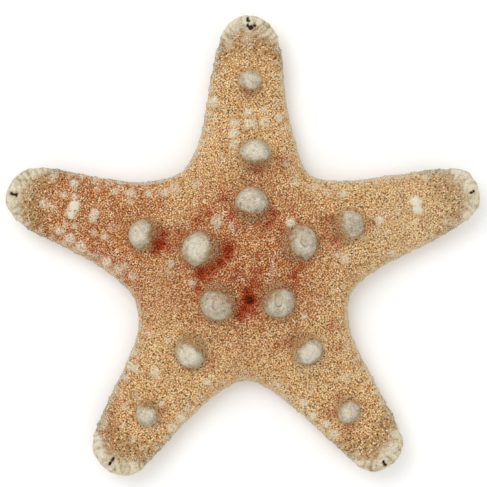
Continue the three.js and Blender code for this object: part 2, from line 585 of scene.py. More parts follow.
@dataclass(frozen=True)
class Arm:
    """An arm: its direction in degrees, its length, the ends of its tip's slit, and its knobs."""

    angle: float
    reach: float
    slit: tuple[float, float]
    knobs: tuple[Knob, ...]

    def way(self) -> Array:
        """The arm's direction in the plane."""
        return np.array([math.cos(math.radians(self.angle)), math.sin(math.radians(self.angle))])

    def place(self, along: float, aside: float) -> Array:
        """A place in the plane from its distance along the arm and aside of it."""
        way = self.way()
        return way * along + np.array([-way[1], way[0]]) * aside

    def local(self, points: Array) -> tuple[Array, Array]:
        """Distances along the arm and aside of it.

        Args:
            points: Places from the disc's middle.

        Returns:
            The distances along and aside.
        """
        way = self.way()
        along = points[:, 0] * way[0] + points[:, 1] * way[1]
        aside = points[:, 1] * way[0] - points[:, 0] * way[1]
        return along, aside


ARMS = (
    Arm(
        angle=16.5,
        reach=81.6,
        slit=(1.8, 3.6),
        knobs=(Knob(17.7, 0.1, 6.2, 7.2, 14, 0.35, 0.7), Knob(35.0, 1.0, 5.4, 6.0, 28, 0.0)),
    ),
    Arm(
        angle=90.1,
        reach=82.5,
        slit=(0.8, 2.8),
        knobs=(
            Knob(18.0, -1.0, 6.0, 7.0, 12, 0.55, 0.4),
            Knob(34.4, -2.3, 5.6, 6.0, 20, 0.85),
            Knob(59.5, -0.7, 4.2, 3.0, 8, 0.35),
        ),
    ),
    Arm(
        angle=164.8,
        reach=85.0,
        slit=(1.6, 4.2),
        knobs=(Knob(16.3, 1.4, 6.4, 7.6, 6, 1.0), Knob(35.8, 1.6, 5.5, 6.4, 16, 0.6)),
    ),
    Arm(
        angle=236.0,
        reach=86.5,
        slit=(1.8, 5.4),
        knobs=(
            Knob(18.1, -0.1, 6.2, 7.0, 6, 0.1, 0.6),
            Knob(36.8, 1.6, 5.6, 6.0, 20, 0.85),
            Knob(62.6, 1.1, 4.3, 3.4, 10, 0.7),
        ),
    ),
    Arm(
        angle=303.5,
        reach=85.2,
        slit=(0.8, 3.0),
        knobs=(
            Knob(17.1, 0.3, 6.1, 7.2, 6, 0.3, 0.7),
            Knob(36.2, -0.6, 5.4, 6.2, 20, 1.2),
            Knob(61.5, -0.4, 4.4, 3.4, 8, 0.6),
        ),
    ),
)

# Bare warts, and weaker ones where the granules are only paler
WARTS = spots(
    # Upper arm
    (214, 101, 5), (247.5, 111.5, 4.5), (246.5, 124, 4.2), (252, 123.5, 4.2), (233.5, 122.5, 4.2),
    (233, 133, 4.6), (264, 122, 4.2, 0.8), (263.5, 110, 4, 0.6), (278, 118, 4.2), (233, 144, 4.5, 0.8),
    (212, 117, 5.5, 0.5), (275, 103, 4.5, 0.4), (221, 158, 5, 0.4), (286, 163, 4.5, 0.5),
    (296, 181, 4.5, 0.6), (195, 182, 5, 0.5), (247, 43, 6, 0.5), (227, 44, 6.5, 0.6), (210, 131, 6, 0.4),
    (280, 132, 6, 0.3),
    # Left arm
    (71.5, 213, 5.6, 1.2), (75, 206, 5.6, 1.2), (93, 217, 4.4), (95, 212, 4.2), (74, 182, 4.2),
    (64, 193.5, 3.8, 0.8), (74.5, 196, 4.2, 0.8), (46, 203, 4.8), (60, 230, 4.6), (71, 238, 5.2),
    (81, 246, 5.6), (66, 223, 3.2, 0.7), (75, 225, 3.2, 0.7), (106, 262, 6), (117, 270, 5.5, 0.8),
    (125, 265, 4.2, 0.7), (132, 275, 4.4, 0.7), (131, 192, 5, 0.8), (131, 201, 3.5, 0.6),
    (115, 190, 4.2, 0.6), (148, 192, 4.5, 0.6), (165, 192, 4.6, 0.8), (172, 262, 4, 0.6),
    (168, 271, 4, 0.5), (94, 232, 3.8, 0.6), (105, 236, 4.2, 0.7), (93, 256, 5, 0.6),
    (112, 226, 4.5, 0.5), (55, 206, 4, 0.5), (98, 188, 3.4, 0.6), (177, 190, 5, 0.4), (53, 176, 5, 0.6),
    # Right arm
    (414, 201, 5.4, 1.3), (416, 208, 5.6, 1.3), (378, 220, 4.8), (396, 212, 4, 0.6), (414, 221, 3.4, 0.7),
    (342, 192, 4.8, 0.7), (326, 192, 4.2, 0.6), (315, 185, 4.8, 0.6), (433, 201, 4.4, 0.4),
    (446, 221, 6, 0.6), (391, 253, 5, 0.8), (376, 231, 3.2, 0.5), (384, 232, 3.6, 0.5),
    (363, 236, 3.8, 0.5), (404, 225, 4, 0.5), (344, 257, 5, 0.7), (336, 254, 3.5, 0.6),
    (424, 175, 6, 0.6), (428, 227, 3.5, 0.4), (381, 240, 3.4, 0.4),
    # Lower left arm
    (130, 365, 4.4), (136, 367, 4.2), (155.5, 370, 4.4), (135, 350, 4.6, 0.8), (126, 376, 4.4, 0.7),
    (162, 401.5, 2.8), (181, 417, 5.4), (188, 408, 4.4, 0.6), (173, 426, 5.2), (208, 381, 3.8, 0.8),
    (125, 405, 4.6, 0.5), (136, 394, 5, 0.4), (103, 422, 5.4, 0.7), (118, 393, 5, 0.4),
    (168, 337, 4, 0.6), (124, 423, 3.4, 0.6), (133, 437, 3.6, 0.6), (145, 446, 3.6, 0.6),
    (199, 395, 3.6, 0.5), (148, 333, 5, 0.4),
    # Lower right arm
    (303, 401, 4, 0.9), (312, 415, 4.4, 0.9), (324, 423, 4.2, 0.9), (333, 432, 4.4, 0.8), (303, 315, 2.6),
    (344, 376, 5.4, 0.5), (354, 374, 4.4, 0.4), (335, 378, 4, 0.4), (275, 384, 4.6, 0.7),
    (312, 385, 4, 0.4), (354, 453, 4.6, 0.6), (284, 396, 4, 0.5), (389, 446, 8, 0.8), (395, 436, 6, 0.6),
    (380, 463, 6, 0.5), (322, 337, 5, 0.4), (346, 345, 5, 0.4), (305, 370, 4.6, 0.4),
    # Disc
    (217, 220, 6.2, 0.8), (289, 222, 4.6, 0.9), (231, 226, 3.6, 0.7), (174, 186, 5, 0.6),
    (192, 282, 3.6, 0.7), (272, 267, 5.4, 0.4), (311, 186, 5, 0.5), (183, 212, 4, 0.3),
    (320, 300, 5, 0.3),
)

# Hollows in the upper arm's tip, sunk a little and painted dark as their shade
HOLLOWS = spots((250.5, 28, 3), (247.2, 26, 1.9), (254.5, 26, 1.9))

# Grimy places on the tips
GRIMES = spots(
    (23, 203, 7, 0.9), (30, 214, 8, 0.8), (25, 181, 6, 0.6), (38, 196, 7, 0.7), (15, 193, 5, 0.5),
    (452, 190, 8, 0.7), (460, 203, 6, 0.5), (243, 32, 6, 0.6), (262, 33, 6, 0.5), (236, 44, 5, 0.5),
    (371, 456, 8, 0.8), (377, 449, 6, 0.5), (396, 440, 4, 0.2), (112, 452, 6, 0.4), (124, 461, 6, 0.5),
)

# Red stains, strongest where the skin is darkest
STAINS = spots(
    (228, 248, 5.5), (227, 255, 5, 0.9), (220, 262, 5), (211, 268, 5, 0.9), (202, 273, 6.5),
    (197, 287, 4, 0.8), (194, 297, 3, 0.5), (189, 262, 3.5, 0.4), (248.5, 298, 5.5, 1.7), (244, 307, 5.5),
    (240, 314, 5, 0.9), (247, 290, 5), (254, 283, 5, 0.7), (251, 308, 5, 0.7), (257, 271, 6, 0.45),
    (236, 274, 7, 0.4), (273, 213, 4, 0.7), (267, 224, 4.5, 0.7), (224, 197, 5, 0.55), (231, 214, 4, 0.6),
    (198, 221, 5, 0.6), (209, 212, 4.5, 0.55), (178, 232, 5.5, 0.5), (172, 244, 6, 0.55),
    (161, 243, 6, 1.1), (164, 233, 5.5, 0.8), (156, 250, 4.5, 0.9), (168, 246, 6, 0.6),
    (299, 266, 3.6, 0.7), (293, 274, 4, 0.75), (293.5, 283, 3.4, 0.6), (327, 219, 6, 0.41),
    (333, 239, 5.5, 0.54), (325, 232, 5.5, 0.34), (370, 222, 4, 0.34), (257, 168, 7, 0.41),
    (270, 170, 6, 0.34), (281, 160, 6, 0.4), (247, 92, 5, 0.34), (287, 340, 5.5, 0.41), (275, 344, 5, 0.34),
    (346, 427, 7, 0.31), (337, 394, 4, 0.4), (211, 361, 6, 0.34), (165, 290, 26, 0.22),
    (248, 352, 20, 0.12), (112, 245, 30, 0.12), (165, 407, 4, 0.34), (330, 325, 5, 0.4),
    (337, 345, 4.5, 0.4), (330, 412, 5, 0.4),
)


@dataclass
class StarPlan:
    """Where everything is on the star, in millimetres from the disc's middle."""

    centre: tuple[float, float] = (1.88, -4.43)
    thickness: tuple[float, float] = (20.0, 9.0)
    tip_rounding: float = 8.5
    tip_lift: float = 5.0
    lift_from: float = 0.6
    furrow: tuple[float, float] = (1.7, 0.55)
    mouth: float = 4.2
    photo_centre: tuple[float, float] = (248.0, 257.0)
    mm_per_px: float = 0.34
    arms: tuple[Arm, ...] = ARMS

    def from_centre(self, points: Array) -> Array:
        """Moves points so that the disc's middle is the origin."""
        return points - np.array([self.centre[0], self.centre[1], 0.0])

    def away(self, points: Array, spot: Spot) -> Array:
        """Distances from a spot as seen from above, as shares of its radius.

        Args:
            points: Places from the disc's middle.
            spot: The spot.

        Returns:
            A share for each point.
        """
        x = (spot.x - self.photo_centre[0]) * self.mm_per_px
        y = (self.photo_centre[1] - spot.y) * self.mm_per_px
        return np.hypot(points[:, 0] - x, points[:, 1] - y) / (spot.radius * self.mm_per_px)

    def lift(self, arm: Arm, along: Any) -> Any:
        """Height of the underside at distances along an arm."""
        return self.tip_lift * ease(self.lift_from, 1.0, along / arm.reach)

    def furrow_half(self, arm: Arm, along: Any) -> Any:
        """Half the width of the furrow at distances along an arm."""
        mouth, tip = self.furrow
        return mouth + (tip - mouth) * along / arm.reach

    def crest(self, arm: Arm, along: float) -> float:
        """Height of the back's crest at a distance along an arm.

        Args:
            arm: The arm.
            along: The distance, in millimetres.

        Returns:
            The height, in millimetres.
        """
        share = min(along / (arm.reach - self.tip_rounding), 1.0)
        disc, tip = self.thickness
        return self.lift(arm, along) + tip + (disc - tip) * (0.5 + 0.5 * math.cos(math.pi * share))



class Zone(StrEnum):
    """Numbers that the skin carries from place to place, and that its colours and granules follow."""

    BARE = "bare"
    CAP = "cap"
    KNOB = "knob"
    INWARD = "inward"
    PIT = "pit"
    PALE = "pale"
    STAIN = "stain"
    RIM = "rim"
    TIP = "tip"
    GRIME = "grime"
    SLIT = "slit"
    WRINKLE = "wrinkle"
    UNDER = "under"
    REDNESS = "redness"
    FURROW = "furrow"
    PLATE = "plate"



@dataclass(frozen=True)
class Places:
    """The skin's vertices from the disc's middle, their normals, and noise of three sizes at them."""

    points: Array
    normals: Array
    wide: Array
    middling: Array
    small: Array

    @classmethod
    def at(cls, points: Array, normals: Array) -> "Places":
        """Works the noise out at the vertices."""
        return cls(points, normals, *(noise_at(points, size) for size in NOISE_SIZES))

    def up(self) -> Array:
        """How far each vertex faces up."""
        return self.normals[:, 2]



Zones = dict[Zone, Array]


def raise_zones(zones: Zones, parts: Zones) -> None:
    """Raises zones to new values wherever those are higher."""
    for zone, values in parts.items():
        zones[zone] = np.maximum(zones[zone], values)


@dataclass
class Skin(Part):
    """The star's skin: the solid's own shape, rounded, sunk under its granules and given its small relief.

    Sizes are in millimetres. A span is the pair of distances between which something fades in or out.
    """

    plan: StarPlan
    voxel: float = 0.62
    rounding: int = 9
    sink: float = 0.3
    lump: float = 7.0
    lump_height: float = 0.3
    wart_height: float = 0.5
    plate: float = 4.4
    plate_height: float = 0.2
    plate_span: tuple[float, float] = (4.2, 1.0)
    rim_height: float = 0.2
    ripple: float = 1.8
    wrinkle_depth: float = 0.1
    wrinkle_span: tuple[float, float] = (14.0, 9.0)
    tip_span: tuple[float, float] = (10.5, 3.0)
    grime_span: tuple[float, float] = (17.0, 11.0)
    grime_end: tuple[float, float] = (3.0, 8.0)
    slit_half: float = 0.7
    slit_depth: float = 1.2
    furrow_depth: float = 3.2
    red_disc: tuple[float, float] = (42.0, 12.0)
    red_arm: tuple[float, float] = (20.0, 40.0)
    red_arm_end: tuple[float, float] = (79.0, 66.0)
    blanched_arm: tuple[float, float] = (32.0, 56.0)
    pit_depth: float = 0.7
    brim_height: float = 0.25
    ring_height: float = 0.12
    ring_pace: float = 20.0

    def build(self) -> bpy.types.Object:
        """Makes the skin's object with its zones, relief and bake map.

        Returns:
            The skin, not dressed yet.
        """
        piece = self._rounded_copy()
        mesh = piece.data
        points = read_points(mesh)
        normals = read(mesh.vertex_normals, "vector", 3)
        places = Places.at(self.plan.from_centre(points), normals)
        zones = self._zones(places)
        relief = self._relief(places, zones)
        write_points(mesh, points + normals * relief[:, None])
        for zone, values in zones.items():
            write_attribute(mesh, zone.value, values)
        self._patches(mesh)
        mesh.shade_smooth()
        self._bake_map(mesh, normals)
        return piece

    def _rounded_copy(self) -> bpy.types.Object:
        """Copies the solid, joins its triangles and rounds its facets off.

        Returns:
            The copy, as a plain mesh.
        """
        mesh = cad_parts[NODE].data.copy()
        joined = bmesh.new()
        joined.from_mesh(mesh)
        bmesh.ops.remove_doubles(joined, verts=joined.verts, dist=1e-6)
        joined.to_mesh(mesh)
        joined.free()
        mesh.materials.clear()
        piece = bpy.data.objects.new("skin", mesh)
        bpy.context.scene.collection.objects.link(piece)
        remesh = piece.modifiers.new("even", "REMESH")
        remesh.mode = "VOXEL"
        remesh.voxel_size = self.voxel * MM
        smooth = piece.modifiers.new("round", "SMOOTH")
        smooth.factor = 0.5
        smooth.iterations = self.rounding
        return settle(piece)

    def _zones(self, places: Places) -> Zones:
        """Works out every zone at the skin's vertices.

        Args:
            places: The skin's vertices.

        Returns:
            A number for each vertex, by zone.
        """
        zones = {zone: np.zeros(len(places.points)) for zone in Zone}
        zones[Zone.UNDER] = ease(-0.1, -0.6, places.up())
        for arm in self.plan.arms:
            self._knob_zones(zones, places, arm)
        steep = (np.abs(places.up()) < 0.3) & (zones[Zone.KNOB] == 0)
        edge = self._from_edge(places.points[steep], places.points)
        for arm in self.plan.arms:
            self._margin_zones(zones, places, edge, arm)
            self._tip_zones(zones, places, arm)
        self._spot_zones(zones, places)
        self._disc_zones(zones, places)
        return zones

    def _from_edge(self, outline: Array, points: Array) -> Array:
        """Distances from the star's outline as seen from above.

        Args:
            outline: Vertices on the steep margin.
            points: Vertices from the disc's middle.

        Returns:
            A distance for each vertex.
        """
        tree = kdtree.KDTree(len(outline))
        for index, (x, y, _) in enumerate(outline):
            tree.insert((x, y, 0.0), index)
        tree.balance()
        return np.array([tree.find((x, y, 0.0))[2] for x, y, _ in points])

    def _margin_zones(self, zones: Zones, places: Places, edge: Array, arm: Arm) -> None:
        """Adds an arm's pale rim, its margin's plates and its furrow to the zones.

        Args:
            zones: The zones so far.
            places: The skin's vertices.
            edge: Distances from the outline.
            arm: The arm.
        """
        along, aside = arm.local(places.points)
        share = along / arm.reach
        own = np.abs(aside) < along * math.tan(math.pi / len(self.plan.arms))
        plate = 0.5 + 0.5 * np.cos(math.tau * along / self.plate)
        width = (0.5 + 0.9 * plate) * (0.4 + 0.9 * ease(0.4, 0.9, share))
        rim = own * ease(1.2, 0.2, edge / width + 0.4 * places.middling) * (1 - zones[Zone.UNDER])
        margin = own * (places.up() > 0) * ease(0.3, 0.45, share) * plate * plate
        margin = margin * ease(*self.plate_span, edge + 0.8 * places.middling)
        low = places.points[:, 2] < self.plan.lift(arm, along) + self.furrow_depth
        half = self.plan.furrow_half(arm, along)
        furrow = low * (along > 2.0) * ease(half + 0.5, half - 0.1, np.abs(aside))
        parts = {Zone.RIM: rim, Zone.FURROW: furrow, Zone.PALE: 0.45 * margin, Zone.PLATE: margin}
        raise_zones(zones, parts)

    def _tip_zones(self, zones: Zones, places: Places, arm: Arm) -> None:
        """Adds an arm's bare wrinkled tip and its slit to the zones.

        Args:
            zones: The zones so far.
            places: The skin's vertices.
            arm: The arm.
        """
        along, aside = arm.local(places.points)
        far = arm.reach - along
        outer = along > 0.5 * arm.reach
        back = outer * (places.up() > 0)
        inset = far - 0.05 * aside * aside + 1.6 * places.wide
        tip = outer * ease(*self.tip_span, inset)
        ripple = np.hypot(far - 2.0, 0.8 * aside) + 0.7 * places.wide + 0.3 * places.middling
        crest = (0.5 + 0.5 * np.sin(math.tau * ripple / self.ripple)) ** 2
        wrinkle = back * ease(*self.wrinkle_span, inset) * ease(-0.4, 0.2, places.middling) * crest
        grime = back * ease(*self.grime_span, inset) * ease(*self.grime_end, inset)
        start, end = arm.slit
        run = ease(start - 0.3, start + 0.3, far) * ease(end + 0.4, end - 0.4, far)
        half = np.maximum(self.slit_half * np.sqrt(run), 0.05)
        slit = back * run * ease(1.0, 0.2, np.abs(aside + 0.4 * places.small) / half)
        raise_zones(zones, {Zone.TIP: tip, Zone.WRINKLE: wrinkle, Zone.GRIME: grime, Zone.SLIT: slit})

    def _spot_zones(self, zones: Zones, places: Places) -> None:
        """Adds the back's warts, stains, grime and hollows to the zones.

        Args:
            zones: The zones so far.
            places: The skin's vertices.
        """
        back = places.up() > 0
        ragged = 0.4 * places.middling + 0.1 * places.small
        for spot in WARTS:
            away = self.plan.away(places.points, spot) + ragged
            raise_zones(zones, {Zone.PALE: 0.9 * spot.strength * ease(1.65, 0.4, away) * back})
        raise_zones(zones, {Zone.BARE: 0.6 * ease(0.8, 1.1, zones[Zone.PALE])})
        for zone, marks, falloff in ((Zone.STAIN, STAINS, 0.6), (Zone.GRIME, GRIMES, 0.8)):
            for spot in marks:
                glow = np.exp(-falloff * self.plan.away(places.points, spot) ** 2)
                raise_zones(zones, {zone: spot.strength * glow * back})
        for spot in HOLLOWS:
            away = self.plan.away(places.points, spot)
            raise_zones(zones, {Zone.SLIT: spot.strength * ease(1.1, 0.5, away) * back})

    def _disc_zones(self, zones: Zones, places: Places) -> None:
        """Adds the mouth, the redness of the disc and left arm, and the right arm's paleness.

        Args:
            zones: The zones so far.
            places: The skin's vertices.
        """
        points = places.points
        out = np.hypot(points[:, 0], points[:, 1])
        right = self.plan.arms[0].local(points)[0]
        left = self.plan.arms[2].local(points)[0]
        mouth = ease(self.plan.mouth + 0.8, self.plan.mouth, out) * (points[:, 2] < 6.0)
        arm_red = ease(*self.red_arm, left) * ease(*self.red_arm_end, left)
        redness = np.maximum(0.95 * ease(*self.red_disc, out), 0.85 * arm_red)
        blanch = 0.22 * ease(*self.blanched_arm, right) * (places.up() > 0)
        raise_zones(zones, {Zone.FURROW: mouth, Zone.REDNESS: redness, Zone.PALE: blanch})

    def _knob_zones(self, zones: Zones, places: Places, arm: Arm) -> None:
        """Adds an arm's knobs to the zones.

        Args:
            zones: The zones so far.
            places: The skin's vertices.
            arm: The arm.
        """
        inward = np.clip(-places.normals[:, :2] @ arm.way(), 0, 1)
        ragged = 0.12 * places.middling
        for knob in arm.knobs:
            radial, height = self._about_knob(places.points, arm, knob)
            near = (radial < 1.4) * (height > -0.6)
            worn = radial + ragged
            parts = {
                Zone.BARE: ease(1.16, 0.74, worn + 0.4 * inward * ease(0.4, 0.9, radial)),
                Zone.KNOB: np.clip(1 - radial / 1.4, 0, 1),
                # INWARD marks the flank that faces the disc, which the skin's colour darkens as painted
                # shade and dirt
                Zone.INWARD: ease(1.2, 0.9, radial) * inward,
                Zone.CAP: knob.pale * ease(0.68, 0.44, worn),
                Zone.PIT: knob.dimple * ease(0.3, 0.12, radial + 1.5 * ragged),
            }
            raise_zones(zones, {zone: near * values for zone, values in parts.items()})

    def _about_knob(self, points: Array, arm: Arm, knob: Knob) -> tuple[Array, Array]:
        """Places the points about a knob's leaning axis.

        Args:
            points: Vertices from the disc's middle.
            arm: The knob's arm.
            knob: The knob.

        Returns:
            Distance from the axis as a share of the knob's radius, and height as a share of its height.
        """
        lean = math.radians(knob.lean)
        axis = np.append(arm.way() * math.sin(lean), math.cos(lean))
        base = np.append(arm.place(knob.along, knob.aside), self.plan.crest(arm, knob.along))
        off = points - base
        height = off @ axis
        radial = np.linalg.norm(off - height[:, None] * axis, axis=1)
        return radial / knob.radius, height / knob.height

    def _relief(self, places: Places, zones: Zones) -> Array:
        """How far each vertex moves out along its normal, in millimetres.

        Args:
            places: The skin's vertices.
            zones: The skin's zones.

        Returns:
            The distances, negative inwards.
        """
        back = 1 - zones[Zone.UNDER]
        covered = np.maximum(np.maximum(zones[Zone.BARE], zones[Zone.FURROW]), zones[Zone.TIP] * 0.85)
        medium = places.middling
        fine = places.small
        relief = -self.sink * (1 - covered)
        relief += self.wart_height * back * np.clip(zones[Zone.PALE] - 0.3, 0, 1)
        relief += back * (self.lump_height * noise_at(places.points, self.lump) + 0.1 * medium)
        relief += zones[Zone.BARE] * (0.22 * medium + 0.16 * fine)
        relief += zones[Zone.TIP] * (0.12 * medium + 0.14 * fine)
        relief += self.plate_height * zones[Zone.PLATE]
        relief += self.rim_height * zones[Zone.RIM] - self.wrinkle_depth * zones[Zone.WRINKLE]
        for arm in self.plan.arms:
            for knob in arm.knobs:
                radial, height = self._about_knob(places.points, arm, knob)
                brim = self.brim_height * np.exp(-(((radial - 0.38) / 0.12) ** 2))
                pit = brim - self.pit_depth * ease(0.32, 0.1, radial)
                relief += knob.dimple * (height > 0.5) * pit
                rings = np.sin(self.ring_pace * radial + 4.0 * medium)
                relief += self.ring_height * rings * (height > 0) * ease(1.0, 0.85, radial)
        return relief - self.slit_depth * zones[Zone.SLIT]

    def _patches(self, mesh: bpy.types.Mesh) -> None:
        """Numbers the faces by the arm that they are on, with the underside last.

        Args:
            mesh: The skin's mesh.
        """
        middles = self.plan.from_centre(read(mesh.polygons, "center", 3) / MM)
        bearing = np.degrees(np.arctan2(middles[:, 1], middles[:, 0]))
        turns = [np.abs((bearing - arm.angle + 180) % 360 - 180) for arm in self.plan.arms]
        under = read(mesh.polygons, "normal", 3)[:, 2] < UNDER_BELOW
        number = np.where(under, len(turns), np.argmin(turns, axis=0))
        layer = mesh.attributes.new(PATCH, "INT", "FACE")
        layer.data.foreach_set("value", number.astype(np.int32))

    def _bake_map(self, mesh: bpy.types.Mesh, normals: Array) -> None:
        """Maps the back and the underside flat, side by side.

        Args:
            mesh: The skin's mesh.
            normals: Normals at its vertices.
        """
        corner = read(mesh.loops, "vertex_index", kind=np.int32)
        totals = read(mesh.polygons, "loop_total", kind=np.int32)
        back = np.repeat(read(mesh.polygons, "normal", 3)[:, 2] > UNDER_BELOW, totals)
        flat = unrolled(read_points(mesh), normals)[corner]
        across = np.where(back, 0.25, 0.75) + flat[:, 0] * 0.5
        upward = 0.5 + flat[:, 1] * np.where(back, 1.0, -1.0)
        write_map(mesh, np.column_stack((across, upward)))

    def dress(self, piece: bpy.types.Object) -> None:
        """Gives the skin its material and its place in the part.

        Args:
            piece: The skin.
        """
        piece.data.materials.append(SkinFinish().material())
        super().dress(piece)
        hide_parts(NODE)


@dataclass(frozen=True)
class SkinFinish:
    """The bare skin: dark between the granules, with pores and slits painted dark as their shade, chalky on
    knobs, warts and tips.
    """

    gap: Colour = srgb(172, 124, 76)
    gap_light: Colour = srgb(204, 160, 110)
    gap_red: Colour = srgb(152, 64, 26)
    gap_stain: Colour = srgb(108, 26, 6)
    chalk: Colour = srgb(172, 163, 138)
    chalk_pale: Colour = srgb(207, 199, 180)
    chalk_blush: Colour = srgb(178, 158, 144)
    # Brown of dirt on the knobs, also used as painted shade at their base and on the flank that faces the
    # disc
    chalk_dirt_and_shade: Colour = srgb(140, 112, 70)
    pit_edge: Colour = srgb(104, 92, 80)
    wart: Colour = srgb(216, 208, 186)
    tip: Colour = srgb(211, 201, 176)
    tip_shade: Colour = srgb(148, 128, 94)
    # Near-black painted shade in the tip's slit and hollows
    slit: Colour = srgb(64, 44, 28)
    # Painted shade of the pores and of small pits
    hole_shade: Colour = srgb(82, 52, 24)
    furrow: Colour = srgb(150, 118, 80)
    furrow_dark: Colour = srgb(98, 68, 42)
    blotch: Pattern = (3.0, 2.0, 0.5)
    blush: Pattern = (2.4, 2.0, 0.5)
    mottle: Pattern = (1.6, 3.0, 0.6)
    fine: Pattern = (0.6, 2.0, 0.6)
    speck: Pattern = (0.42, 1.0, 0.5)
    roughness: float = 0.85
    grain_depth: float = 0.3

    def material(self) -> bpy.types.Material:
        """Builds the skin's material.

        Returns:
            The material.
        """
        shader = Shader("starfish skin")
        blotch = shader.noise(*self.blotch)
        mottle = shader.noise(*self.mottle)
        fine = shader.noise(*self.fine)
        speck = shader.noise(*self.speck)
        gap = shader.mix(mottle.step(0.42, 0.66), self.gap, self.gap_light)
        red = shader.attribute(Zone.REDNESS) * 0.8 + (mottle - 0.5)
        gap = shader.mix(red.clamp(), gap, self.gap_red)
        gap = shader.mix((shader.attribute(Zone.STAIN) * 1.3).clamp(), gap, self.gap_stain)
        # Painted shade: dark dots where the pores are, since no holes are cut
        gap = shader.mix(shader.dots(*PORES) * 0.8, gap, self.hole_shade)
        gap = shader.mix(shader.attribute(Zone.PALE).step(0.1, 0.8) * 0.85, gap, self.wart)
        colour = shader.mix(shader.attribute(Zone.BARE).step(0.3, 0.7), gap, self._chalk(shader))
        wart = shader.attribute(Zone.PALE).step(0.6, 0.95) * (0.6 + fine * 0.6)
        colour = shader.mix(wart.clamp(), colour, self.wart)
        crease = shader.attribute(Zone.WRINKLE) * 0.65 + (0.5 - mottle) * 1.2 + (0.5 - fine) * 1.4
        crease = crease + shader.attribute(Zone.GRIME) * 0.7 + (0.5 - blotch) * 1.4
        tip = shader.mix(crease.clamp(), self.tip, self.tip_shade)
        # Small dark specks on the tip, painted in the pores' shade colour
        tip = shader.mix(speck.step(0.58, 0.66) * 0.4, tip, self.hole_shade)
        margin = shader.attribute(Zone.RIM) * 0.7 + shader.attribute(Zone.TIP)
        colour = shader.mix(margin.clamp(), colour, tip)
        # Painted shade: the slit and the hollows, sunk only a little, are painted near black
        colour = shader.mix(shader.attribute(Zone.SLIT).step(0.1, 0.6), colour, self.slit)
        furrow = shader.mix(mottle.step(0.4, 0.65), self.furrow, self.furrow_dark)
        colour = shader.mix(shader.attribute(Zone.FURROW), colour, furrow)
        return shader.surface(colour, self.roughness, fine, self.grain_depth)

    def _chalk(self, shader: Shader) -> Socket:
        """The colour of worn knobs: grey green, blushed and white in blotches, and brown towards the disc
        and at the base, where the brown is painted shade as well as dirt.

        Args:
            shader: The material's tree.

        Returns:
            The colour.
        """
        blotch = shader.noise(*self.blotch)
        mottle = shader.noise(*self.mottle)
        blush = shader.noise(*self.blush)
        fine = shader.noise(*self.fine)
        speck = shader.noise(*self.speck)
        knob = shader.attribute(Zone.KNOB)
        chalk = shader.mix(blush.step(0.5, 0.58) * 0.8, self.chalk, self.chalk_blush)
        # Painted shade mixed with dirt: the knob's base and its flank that faces the disc turn brown as if
        # shaded, and the noise terms add mottled dirt
        dirt = knob.step(0.48, 0.16) * 0.6 + shader.attribute(Zone.INWARD) * 2.0
        dirt = dirt + (0.48 - mottle) * 5.0 + (0.48 - fine) * 2.4
        chalk = shader.mix(dirt.clamp(), chalk, self.chalk_dirt_and_shade)
        white = blotch.step(0.49, 0.55) * knob.step(0.15, 0.45) * 0.4
        pale = shader.attribute(Zone.CAP) * (0.4 + fine) + white + fine.step(0.52, 0.64) * 0.3
        # Painted shade: the flank that faces the disc loses its pale top
        pale = pale * (1 - shader.attribute(Zone.INWARD) * 1.2).clamp()
        chalk = shader.mix(pale.clamp(), chalk, self.chalk_pale)
        pit = shader.attribute(Zone.PIT)
        chalk = shader.mix(pit.step(0.1, 0.6) * 0.3, chalk, self.chalk_blush)
        ring = pit.step(0.0, 0.2) * pit.step(0.5, 0.25) * blotch.step(0.4, 0.6)
        crack = 1 - (blush - 0.5) * (blush - 0.5) * 2500.0
        chalk = shader.mix(ring * 0.7 + crack.clamp() * 0.35, chalk, self.pit_edge)
        return shader.mix(speck.step(0.54, 0.64) * 0.4, chalk, self.chalk_dirt_and_shade)


